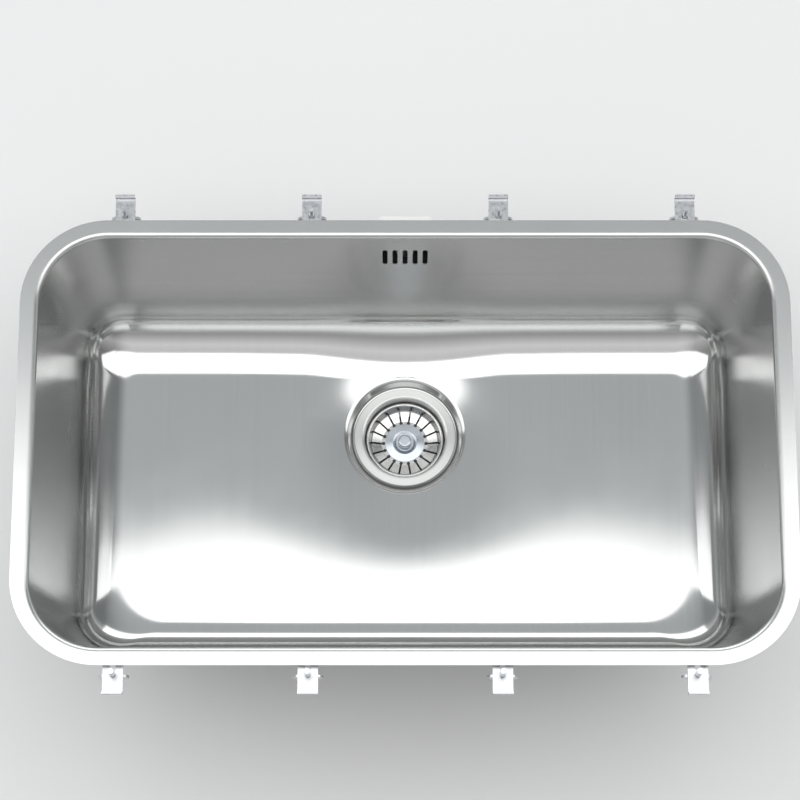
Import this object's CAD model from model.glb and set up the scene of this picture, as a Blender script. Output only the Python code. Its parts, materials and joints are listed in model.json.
"""Undermount kitchen sink, dressed for the render. Metres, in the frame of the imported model."""

import json
from math import atan, ceil, cos, pi, radians, sin, tan

import bpy
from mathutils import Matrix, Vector, geometry


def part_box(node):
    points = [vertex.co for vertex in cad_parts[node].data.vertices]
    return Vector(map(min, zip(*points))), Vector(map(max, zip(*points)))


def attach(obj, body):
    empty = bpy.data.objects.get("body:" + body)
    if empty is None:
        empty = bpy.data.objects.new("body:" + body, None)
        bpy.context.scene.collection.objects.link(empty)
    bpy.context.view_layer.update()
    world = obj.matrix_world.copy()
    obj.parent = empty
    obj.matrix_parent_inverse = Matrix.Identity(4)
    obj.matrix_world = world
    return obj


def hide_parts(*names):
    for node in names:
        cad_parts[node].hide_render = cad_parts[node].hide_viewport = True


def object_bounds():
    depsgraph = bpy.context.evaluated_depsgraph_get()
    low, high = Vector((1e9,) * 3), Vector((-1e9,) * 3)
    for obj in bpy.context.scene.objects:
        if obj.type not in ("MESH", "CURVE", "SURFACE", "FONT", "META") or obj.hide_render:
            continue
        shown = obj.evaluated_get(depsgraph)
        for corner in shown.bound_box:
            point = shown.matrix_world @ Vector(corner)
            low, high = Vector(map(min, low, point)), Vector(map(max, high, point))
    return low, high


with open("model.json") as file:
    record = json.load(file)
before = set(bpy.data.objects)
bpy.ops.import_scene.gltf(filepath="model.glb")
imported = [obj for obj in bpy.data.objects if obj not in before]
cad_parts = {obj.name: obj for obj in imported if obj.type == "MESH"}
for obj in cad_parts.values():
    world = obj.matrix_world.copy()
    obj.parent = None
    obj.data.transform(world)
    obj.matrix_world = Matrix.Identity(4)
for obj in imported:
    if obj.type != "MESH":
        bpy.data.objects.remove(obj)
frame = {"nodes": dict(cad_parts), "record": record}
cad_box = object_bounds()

# Pressed bowl
flange_width = 0.018
opening_corner = 0.070
base_corner = 0.038
sheet = 0.001
bowl_depth = 0.206
wall_lean = radians(10)
rim_bend = 0.006

# Edge between the walls and the floor: how far it reaches, and how slowly it leaves each of them
fillet_leg = 0.0365
back_reach = 0.0125
front_reach = -0.004
wall_hold = 0.64
front_hold = 0.60
back_hold = 0.38
front_corner = 0.050
back_corner = 0.012

# Floor, with a shallow dish round the waste's recess
floor_fall = radians(1.5)
dish_rise = 0.0030
dish_start = 0.070
dish_reach = 0.052
dish_end = 0.320
slope_probe = 0.0005
recess_radius = 0.056
recess_depth = 0.006
recess_wall = radians(45)
recess_edge = 0.008
recess_fillet = 0.0025
waste_hole = 0.0455

# Overflow slots in the back wall
slot_count = 5
slot_pitch = 0.0103
slot_width = 0.0052
slot_height = 0.028
slot_drop = 0.040
cutter_reach = 3 * sheet

# Fineness of the bowl's mesh
station_step = 0.006
corner_steps = 18
bend_steps = 8
wall_steps = 6
fillet_steps = 18
floor_steps = 14
edge_steps = 10
slot_steps = 12
recess_tries = 40
knee_tries = 6
bowl_crease = radians(40)
piece_crease = radians(30)

# Part of a noise's range over which every finish goes from its first tone to its second
tone_span = (0.3, 0.7)

# Satin sheet of the bowl: grain per metre, heights over which the wall's finish takes over, and gloss
satin_dark = (0.58, 0.585, 0.58)
satin_light = (0.635, 0.64, 0.635)
floor_grain = (400, 3, 3)
floor_contrast = (0.4, 0.6)
wall_grain = (3, 3, 230)
wall_contrast = (0.35, 0.65)
wall_heights = (-0.178, -0.150)
satin_clouds = (16, 16, 16)
satin_floor_roughness = 0.11
satin_wall_roughness = 0.26
gloss_span = (0.6, 1.4)
gloss_change = (-0.02, 0.02)
grain_depth = 0.00001
grain_strength = 0.05

# Turned steel of the waste's cup
ring_pitch = 0.0006
turned_dark = (0.66, 0.66, 0.65)
turned_light = (0.76, 0.76, 0.75)
turned_roughness = (0.30, 0.38)
turned_stretch = 0.8
turned_rotation = 0.25
ring_depth = 0.00002
ring_strength = 0.2

# Other metals, plastics and rubbers
plate_depth = 0.00003
plate_strength = 0.15
mould_clouds = (22, 22, 22)
mould_share = 0.4
mould_strength = 0.5

# Overflow collector: how dark its inside is, and the normals that count as inside
inner_tone = 0.04
facing_up = (0.5, 0.7)
facing_front = (-0.2, -0.4)

# Ground
ground_reach = 8
ground_gap = 0.0005
ground_colour = (0.85, 0.85, 0.85, 1)
ground_roughness = 0.7

# Sky: each span of a direction with the brightness at its two ends
side_span = (0, 0.25)
side_glow = (0.60, 0.34)
right_span = (0.05, 0.35)
right_glow = (0, -0.09)
front_span = (-0.25, -0.60)
front_glow = (0, 0.32)
low_front_span = (-0.62, -0.85)
low_front_glow = (0, -0.45)
horizon_span = (0.70, 0.45)
horizon_bow = 0.45
horizon_glow = 0.95
tint_span = (-0.1, 0.2)
front_tint = (1, 1, 1)
back_tint = (0.95, 0.99, 1)

# Camera
camera_lens = 117.95
camera_sensor = 36
camera_shift = 0.15
camera_place = (-0.0052, -0.7319, 2.5)
camera_tilt = radians(14.52)

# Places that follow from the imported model
bowl_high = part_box("bowl")[1]
cup_low, cup_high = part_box("waste_cup")
half_length = bowl_high.x - flange_width
half_width = bowl_high.y - flange_width
waste_centre = (cup_low + cup_high) / 2
seat_z = -bowl_depth - recess_depth
narrowing = (opening_corner - base_corner) / bowl_depth


# Bowl

def front_to_back(front, back, y_share):
    """Value between that of the front and that of the back."""
    return (front * (1 - y_share) + back * (1 + y_share)) / 2


def stations():
    """Places round the opening: how far along each half side the corner's centre lies, and the way out."""
    corners = ((1, 1), (-1, 1), (-1, -1), (1, -1))
    places = []
    for number, (x_share, y_share) in enumerate(corners):
        start = number * pi / 2
        for step in range(corner_steps + 1):
            places.append((x_share, y_share, start + step * pi / 2 / corner_steps))
        next_x, next_y = corners[(number + 1) % len(corners)]
        run = half_length if next_x != x_share else half_width
        steps = ceil(2 * (run - opening_corner) / station_step)
        for step in range(1, steps):
            share = step / steps
            places.append((
                x_share + (next_x - x_share) * share,
                y_share + (next_y - y_share) * share,
                start + pi / 2,
            ))
    return places


def wall_point(place, depth):
    """Point of the inner wall at a depth below the flange's top face."""
    x_share, y_share, turn = place
    inset = depth * tan(wall_lean)
    corner = opening_corner - narrowing * depth
    return Vector((
        x_share * (half_length - inset - corner) + corner * cos(turn),
        y_share * (half_width - inset - corner) + corner * sin(turn),
        -depth,
    ))


def wall_normal(place):
    """Normal of the inner wall, which points into the bowl and up."""
    turn = place[2]
    slope = (tan(wall_lean) - narrowing) * (abs(cos(turn)) + abs(sin(turn))) + narrowing
    lean = atan(slope)
    return Vector((-cos(turn) * cos(lean), -sin(turn) * cos(lean), sin(lean)))


def foot_point(place):
    """Point in plan where the floor's edge begins to turn up."""
    x_share, y_share, turn = place
    shift = front_to_back(front_reach, -back_reach, y_share)
    corner = front_to_back(front_corner, back_corner, y_share)
    inset = bowl_depth * tan(wall_lean) + fillet_leg + corner
    return Vector((
        x_share * (half_length - inset) + corner * cos(turn),
        y_share * (half_width - inset) + corner * sin(turn) + shift,
        0,
    ))


def swing(first, last, steps):
    """Directions from first to last, evenly turned."""
    whole = first.angle(last)
    turned = []
    for step in range(steps + 1):
        share = step / steps
        turned.append((first * sin((1 - share) * whole) + last * sin(share * whole)) / sin(whole))
    return turned


def floor_height(radius):
    """Height of the floor at a distance from the waste's axis: a shallow cone, steeper near the recess."""
    beyond = radius - dish_start - dish_reach
    if beyond < 0:
        lift = sin((radius - dish_start) / dish_reach * pi / 2)
    elif radius < dish_end:
        lift = (1 + cos(beyond / (dish_end - dish_start - dish_reach) * pi)) / 2
    else:
        lift = 0
    return -bowl_depth + radius * tan(floor_fall) + dish_rise * lift


def floor_angle(radius):
    """Fall of the floor towards the waste at a distance from its axis."""
    rise = floor_height(radius + slope_probe) - floor_height(radius - slope_probe)
    return atan(rise / 2 / slope_probe)


def recess_profile():
    """Radii and heights from the floor over the recess's edge to the waste hole."""
    low, high = recess_radius, 2 * recess_radius
    for attempt in range(recess_tries):
        start = (low + high) / 2
        fall = floor_angle(start)
        edge_r = start + recess_edge * sin(fall)
        edge_z = floor_height(start) - recess_edge * cos(fall)
        above_wall = (edge_z - seat_z) * cos(recess_wall) - (edge_r - recess_radius) * sin(recess_wall)
        low, high = (start, high) if above_wall + recess_edge > 0 else (low, start)
    points = []
    for step in range(edge_steps + 1):
        tilt = fall + (recess_wall - fall) * step / edge_steps
        points.append((edge_r - recess_edge * sin(tilt), edge_z + recess_edge * cos(tilt)))
    foot_r = recess_radius - recess_fillet * tan(recess_wall / 2)
    for step in range(edge_steps + 1):
        tilt = recess_wall * (1 - step / edge_steps)
        points.append((foot_r + recess_fillet * sin(tilt), seat_z + recess_fillet * (1 - cos(tilt))))
    points.append((waste_hole, seat_z))
    return points


def bowl_line(place, profile):
    """Points of the inner face at one station, from the flange's edge to the waste hole."""
    out = Vector((cos(place[2]), sin(place[2]), 0))
    normal = wall_normal(place)
    up = Vector((0, 0, 1))
    bend_depth = rim_bend * (1 - normal.z)
    bend_centre = wall_point(place, bend_depth) - normal * rim_bend
    line = [wall_point(place, 0) + out * flange_width]
    line += [bend_centre + turned * rim_bend for turned in swing(up, normal, bend_steps)]
    # The floor's edge turns up from the foot to the wall, with both faces' slopes at its ends
    foot = foot_point(place)
    away = Vector((foot.x - waste_centre.x, foot.y - waste_centre.y, 0))
    foot_reach = away.length
    away.normalize()
    foot.z = floor_height(foot_reach)
    depth = bowl_depth
    for attempt in range(knee_tries):
        knee = wall_point(place, depth)
        depth = -foot.z - (knee - foot).dot(away) * tan(floor_angle(foot_reach))
    knee = wall_point(place, depth)
    top_depth = depth - fillet_leg * cos(wall_lean)
    top = wall_point(place, top_depth)
    floor_hold = front_to_back(front_hold, back_hold, place[1])
    for step in range(1, wall_steps):
        line.append(wall_point(place, bend_depth + (top_depth - bend_depth) * step / wall_steps))
    line += geometry.interpolate_bezier(
        top, top.lerp(knee, wall_hold), foot.lerp(knee, floor_hold), foot, fillet_steps + 1)
    inward = []
    for step in range(1, floor_steps):
        reach = foot_reach + (profile[0][0] - foot_reach) * step / floor_steps
        inward.append((reach, floor_height(reach)))
    for reach, height in inward + profile:
        line.append(waste_centre + away * reach)
        line[-1].z = height
    return line


def new_piece(name, points, faces):
    """Mesh object of points and faces."""
    mesh = bpy.data.meshes.new(name)
    mesh.from_pydata(points, [], faces)
    piece = bpy.data.objects.new(name, mesh)
    bpy.context.scene.collection.objects.link(piece)
    return piece


def settle(piece):
    """Fix the piece's modifiers into its mesh."""
    graph = bpy.context.evaluated_depsgraph_get()
    settled = bpy.data.meshes.new_from_object(piece.evaluated_get(graph))
    piece.modifiers.clear()
    piece.data = settled


def slot_cutter():
    """Closed prisms through the back wall, one for each overflow slot."""
    points = []
    faces = []
    up = Vector((0, sin(wall_lean), cos(wall_lean)))
    through = Vector((0, cos(wall_lean), -sin(wall_lean)))
    middle = Vector((0, half_width - slot_drop * tan(wall_lean), -slot_drop))
    straight = (slot_height - slot_width) / 2
    for number in range(slot_count):
        centre = middle + Vector(((number - (slot_count - 1) / 2) * slot_pitch, 0, 0))
        outline = []
        for step in range(2 * slot_steps + 2):
            top = step <= slot_steps
            turn = pi * (step if top else step - 1) / slot_steps
            along = slot_width / 2 * sin(turn) + (straight if top else -straight)
            outline.append(Vector((slot_width / 2 * cos(turn), 0, 0)) + up * along)
        first = len(points)
        count = len(outline)
        points += [centre + point - through * cutter_reach for point in outline]
        points += [centre + point + through * cutter_reach for point in outline]
        faces.append([first + step for step in range(count)])
        faces.append([first + count + step for step in reversed(range(count))])
        for step in range(count):
            after = (step + 1) % count
            faces.append([first + after, first + step, first + count + step, first + count + after])
    return new_piece("slot_cutter", points, faces)


def make_bowl():
    """The pressed bowl, with an even sheet and the slots cut through it."""
    profile = recess_profile()
    lines = [bowl_line(place, profile) for place in stations()]
    count = len(lines[0])
    points = [point for line in lines for point in line]
    faces = []
    for number in range(len(lines)):
        after = (number + 1) % len(lines)
        for step in range(count - 1):
            faces.append([
                number * count + step,
                after * count + step,
                after * count + step + 1,
                number * count + step + 1,
            ])
    bowl = new_piece("pressed_bowl", points, faces)
    thick = bowl.modifiers.new("sheet", "SOLIDIFY")
    thick.thickness = sheet
    thick.offset = -1
    cutter = slot_cutter()
    cut = bowl.modifiers.new("slots", "BOOLEAN")
    cut.operation = "DIFFERENCE"
    cut.solver = "EXACT"
    cut.object = cutter
    settle(bowl)
    bpy.data.objects.remove(cutter)
    bowl.data.shade_smooth()
    bowl.data.set_sharp_from_angle(angle=bowl_crease)
    weighted = bowl.modifiers.new("normals", "WEIGHTED_NORMAL")
    weighted.keep_sharp = True
    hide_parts("bowl")
    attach(bowl, "sink")
    return bowl


# Materials

def new_material(name, metallic):
    """Material with a Principled shader, its tree and that shader."""
    material = bpy.data.materials.new(name)
    material.use_nodes = True
    shader = material.node_tree.nodes["Principled BSDF"]
    shader.inputs["Metallic"].default_value = metallic
    return material, material.node_tree, shader


def node(tree, kind, inputs):
    """Node of a kind with some of its inputs set or linked."""
    made = tree.nodes.new(kind)
    for name, value in inputs.items():
        socket = made.inputs[name]
        if isinstance(value, bpy.types.NodeSocket):
            tree.links.new(value, socket)
        else:
            socket.default_value = value
    return made


def carried(tree, value, span, ends):
    """Value taken from a span to the two ends of another, and held at them."""
    sizes = {"Value": value, "From Min": span[0], "From Max": span[1], "To Min": ends[0], "To Max": ends[1]}
    return node(tree, "ShaderNodeMapRange", sizes).outputs["Result"]


def worked(tree, operation, first, second):
    """Result of a sum on two values."""
    made = node(tree, "ShaderNodeMath", {0: first, 1: second})
    made.operation = operation
    return made.outputs["Value"]


def mixed(tree, share, first, second):
    """Value between two others."""
    return node(tree, "ShaderNodeMix", {"Factor": share, "A": first, "B": second}).outputs["Result"]


def toned(tree, value, dark, light):
    """Colour between two others, over the span in which a noise mostly lies."""
    made = node(tree, "ShaderNodeValToRGB", {"Fac": value})
    for end, place, colour in zip(made.color_ramp.elements, tone_span, (dark, light)):
        end.position = place
        end.color = (*colour, 1)
    return made.outputs["Color"]


def own_place(tree):
    """Place in the piece's own frame, in metres."""
    return node(tree, "ShaderNodeTexCoord", {}).outputs["Object"]


def mottle(tree, scale, detail):
    """Noise in the piece's own place, with a scale per metre along each axis."""
    spread = node(tree, "ShaderNodeMapping", {"Vector": own_place(tree), "Scale": scale}).outputs["Vector"]
    return node(tree, "ShaderNodeTexNoise", {"Vector": spread, "Scale": 1, "Detail": detail}).outputs["Fac"]


def rings(tree, middle, pitch):
    """Fine turned rings about an upright axis, broken up a little."""
    moved = node(tree, "ShaderNodeVectorMath", {0: own_place(tree), 1: (middle.x, middle.y, 0)})
    moved.operation = "SUBTRACT"
    parts = node(tree, "ShaderNodeSeparateXYZ", {"Vector": moved.outputs["Vector"]})
    squares = [worked(tree, "MULTIPLY", parts.outputs[axis], parts.outputs[axis]) for axis in "XY"]
    radius = worked(tree, "SQRT", worked(tree, "ADD", *squares), 0)
    line = node(tree, "ShaderNodeCombineXYZ", {"X": radius, "Y": parts.outputs["Z"]}).outputs["Vector"]
    return node(tree, "ShaderNodeTexNoise", {"Vector": line, "Scale": 1 / pitch, "Detail": 3}).outputs["Fac"]


def embossed(tree, shader, height, depth, strength):
    """Bump of a depth in metres on the shader."""
    bump = node(tree, "ShaderNodeBump", {"Height": height, "Distance": depth, "Strength": strength})
    tree.links.new(bump.outputs["Normal"], shader.inputs["Normal"])


def satin_steel():
    """Pressed sheet, brushed along the walls, and smoother on the floor, brushed from front to back."""
    material, tree, shader = new_material("satin_stainless", 1)
    height = node(tree, "ShaderNodeSeparateXYZ", {"Vector": own_place(tree)}).outputs["Z"]
    wall = carried(tree, height, wall_heights, (0, 1))
    floor_streaks = carried(tree, mottle(tree, floor_grain, detail=1), (0, 1), floor_contrast)
    wall_streaks = carried(tree, mottle(tree, wall_grain, detail=1), (0, 1), wall_contrast)
    streaks = mixed(tree, wall, floor_streaks, wall_streaks)
    clouds = mottle(tree, satin_clouds, detail=2)
    tree.links.new(toned(tree, streaks, satin_dark, satin_light), shader.inputs["Base Color"])
    gloss = carried(tree, worked(tree, "ADD", streaks, clouds), gloss_span, gloss_change)
    level = mixed(tree, wall, satin_floor_roughness, satin_wall_roughness)
    tree.links.new(worked(tree, "ADD", level, gloss), shader.inputs["Roughness"])
    embossed(tree, shader, streaks, grain_depth, grain_strength)
    return material


def turned_steel():
    """Turned and brushed in circles about the waste."""
    material, tree, shader = new_material("turned_stainless", 1)
    grooves = rings(tree, waste_centre, ring_pitch)
    tree.links.new(toned(tree, grooves, turned_dark, turned_light), shader.inputs["Base Color"])
    tree.links.new(carried(tree, grooves, tone_span, turned_roughness), shader.inputs["Roughness"])
    shader.inputs["Anisotropic"].default_value = turned_stretch
    shader.inputs["Anisotropic Rotation"].default_value = turned_rotation
    round_about = node(tree, "ShaderNodeTangent", {})
    round_about.direction_type = "RADIAL"
    round_about.axis = "Z"
    tree.links.new(round_about.outputs["Tangent"], shader.inputs["Tangent"])
    embossed(tree, shader, grooves, ring_depth, ring_strength)
    return material


def plated(name, dark, light, roughness, scale):
    """Bright metal whose tone and gloss vary a little from place to place."""
    material, tree, shader = new_material(name, 1)
    patches = mottle(tree, scale, detail=4)
    tree.links.new(toned(tree, patches, dark, light), shader.inputs["Base Color"])
    tree.links.new(carried(tree, patches, tone_span, roughness), shader.inputs["Roughness"])
    embossed(tree, shader, patches, plate_depth, plate_strength)
    return material


def moulded(name, dark, light, roughness, grain, depth):
    """Plastic or rubber with the fine grain of its mould over broad clouds of tone."""
    material, tree, shader = new_material(name, 0)
    clouds = mottle(tree, mould_clouds, detail=3)
    bits = mottle(tree, (grain, grain, grain), detail=3)
    both = mixed(tree, mould_share, clouds, bits)
    tree.links.new(toned(tree, both, dark, light), shader.inputs["Base Color"])
    tree.links.new(carried(tree, both, tone_span, roughness), shader.inputs["Roughness"])
    embossed(tree, shader, bits, depth, mould_strength)
    return material


def collector_plastic(**white):
    """White plastic outside and black inside, where it faces the slots."""
    material = moulded("collector_plastic", **white)
    tree = material.node_tree
    shader = tree.nodes["Principled BSDF"]
    outside = shader.inputs["Base Color"].links[0].from_socket
    surface = node(tree, "ShaderNodeNewGeometry", {})
    facing = node(tree, "ShaderNodeSeparateXYZ", {"Vector": surface.outputs["Normal"]})
    place = node(tree, "ShaderNodeSeparateXYZ", {"Vector": surface.outputs["Position"]})
    low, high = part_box("overflow_collector")
    low_down = worked(tree, "LESS_THAN", place.outputs["Z"], (low.z + high.z) / 2)
    bottom = worked(tree, "MULTIPLY", low_down, carried(tree, facing.outputs["Z"], facing_up, (0, 1)))
    inside = worked(tree, "MAXIMUM", bottom, carried(tree, facing.outputs["Y"], facing_front, (0, 1)))
    shade = carried(tree, inside, (0, 1), (1, inner_tone))
    dimmed = node(tree, "ShaderNodeVectorMath", {0: outside, 1: shade})
    dimmed.operation = "MULTIPLY"
    tree.links.new(dimmed.outputs["Vector"], shader.inputs["Base Color"])
    return material


white_look = {
    "dark": (0.77, 0.77, 0.75),
    "light": (0.84, 0.84, 0.82),
    "roughness": (0.36, 0.48),
    "grain": 1400,
    "depth": 0.00006,
}
finishes = {
    "satin_stainless": satin_steel(),
    "turned_stainless": turned_steel(),
    "polished_stainless": plated(
        "polished_stainless",
        dark=(0.63, 0.63, 0.62),
        light=(0.72, 0.72, 0.71),
        roughness=(0.17, 0.25),
        scale=(300, 300, 300),
    ),
    "chrome": plated(
        "chrome",
        dark=(0.54, 0.58, 0.625),
        light=(0.58, 0.62, 0.665),
        roughness=(0.26, 0.33),
        scale=(150, 150, 150),
    ),
    "brass": plated(
        "brass",
        dark=(0.70, 0.52, 0.23),
        light=(0.80, 0.63, 0.32),
        roughness=(0.25, 0.40),
        scale=(90, 90, 1600),
    ),
    "zinc_steel": plated(
        "zinc_steel",
        dark=(0.56, 0.57, 0.60),
        light=(0.70, 0.71, 0.72),
        roughness=(0.24, 0.42),
        scale=(260, 260, 260),
    ),
    "white_plastic": moulded("white_plastic", **white_look),
    "collector_plastic": collector_plastic(**white_look),
    "seal_rubber": moulded(
        "seal_rubber",
        dark=(0.030, 0.030, 0.031),
        light=(0.050, 0.050, 0.051),
        roughness=(0.50, 0.68),
        grain=1800,
        depth=0.00006,
    ),
    "grey_seal": moulded(
        "grey_seal",
        dark=(0.24, 0.24, 0.24),
        light=(0.31, 0.31, 0.31),
        roughness=(0.50, 0.68),
        grain=1800,
        depth=0.00006,
    ),
    "damping_rubber": moulded(
        "damping_rubber",
        dark=(0.085, 0.086, 0.090),
        light=(0.135, 0.136, 0.140),
        roughness=(0.70, 0.90),
        grain=700,
        depth=0.00025,
    ),
}
own_finish = {
    "waste_cup": "turned_stainless",
    "waste_top_gasket": "grey_seal",
    "overflow_collector": "collector_plastic",
}

bowl = make_bowl()
bowl.data.materials.append(finishes["satin_stainless"])
for part in frame["record"]["subparts"]:
    piece = frame["nodes"][part["node"]]
    piece.data.materials.clear()
    piece.data.materials.append(finishes[own_finish.get(part["node"], part["material_slot"])])
    piece.data.shade_smooth()
    piece.data.set_sharp_from_angle(angle=piece_crease)

# Ground

ground_z = cad_box[0].z - ground_gap
ground = new_piece(
    "ground",
    [(x * ground_reach, y * ground_reach, ground_z) for x, y in ((-1, -1), (1, -1), (1, 1), (-1, 1))],
    [(0, 1, 2, 3)],
)
pale, _, pale_shader = new_material("pale_floor", 0)
pale_shader.inputs["Base Color"].default_value = ground_colour
pale_shader.inputs["Roughness"].default_value = ground_roughness
ground.data.materials.append(pale)


# Light

def studio_sky():
    """World that is dim overhead, brighter in front and brightest low down, by the direction alone."""
    world = bpy.data.worlds.new("studio")
    bpy.context.scene.world = world
    world.use_nodes = True
    sky = world.node_tree
    direction = node(sky, "ShaderNodeTexCoord", {}).outputs["Generated"]
    across, back, up = node(sky, "ShaderNodeSeparateXYZ", {"Vector": direction}).outputs
    aside = worked(sky, "MULTIPLY", across, across)
    middle = carried(sky, aside, side_span, side_glow)
    overhead = worked(sky, "ADD", middle, carried(sky, across, right_span, right_glow))
    in_front = carried(sky, back, front_span, front_glow)
    ahead = worked(sky, "ADD", in_front, carried(sky, back, low_front_span, low_front_glow))
    front_only = worked(sky, "MINIMUM", back, 0)
    level = worked(sky, "ADD", aside, worked(sky, "MULTIPLY", front_only, front_only))
    raised = worked(sky, "ADD", up, worked(sky, "MULTIPLY", level, horizon_bow))
    low_down = carried(sky, raised, horizon_span, (0, 1))
    glow = mixed(sky, low_down, worked(sky, "ADD", overhead, ahead), horizon_glow)
    tint = toned(sky, carried(sky, back, tint_span, (0, 1)), front_tint, back_tint)
    shader = sky.nodes["Background"]
    sky.links.new(glow, shader.inputs["Strength"])
    sky.links.new(tint, shader.inputs["Color"])


def softbox(name, place, size, turned, radiance):
    """Area lamp that faces down where it isn't turned, with the brightness of its face."""
    lamp = bpy.data.lights.new(name, "AREA")
    lamp.shape = "RECTANGLE"
    lamp.size, lamp.size_y = size
    lamp.energy = radiance * pi * lamp.size * lamp.size_y
    box = bpy.data.objects.new(name, lamp)
    box.location = place
    box.rotation_euler = turned
    box.visible_camera = False
    bpy.context.scene.collection.objects.link(box)


studio_sky()
softbox("overhead", place=(0, -0.12, 1.6), size=(1.46, 1.08), turned=(0, 0, 0), radiance=1.53)
softbox("right_wing", place=(1.98, 0.065, 1.62), size=(2.6, 1.2), turned=(0, 0, radians(9)), radiance=1.5)
softbox("left_wing", place=(-1.98, 0.105, 1.62), size=(2.6, 1.2), turned=(0, 0, radians(-9)), radiance=1.5)
softbox("backdrop", place=(0, 2.0, 1.07), size=(2.4, 1.4), turned=(radians(-90), 0, 0), radiance=1.4)

# Camera

camera = bpy.data.cameras.new("camera")
camera.lens = camera_lens
camera.sensor_width = camera_sensor
camera.shift_y = camera_shift
viewer = bpy.data.objects.new("camera", camera)
viewer.location = camera_place
viewer.rotation_euler = (camera_tilt, 0, 0)
bpy.context.scene.collection.objects.link(viewer)
bpy.context.scene.camera = viewer
bpy.context.scene.view_settings.view_transform = "Standard"
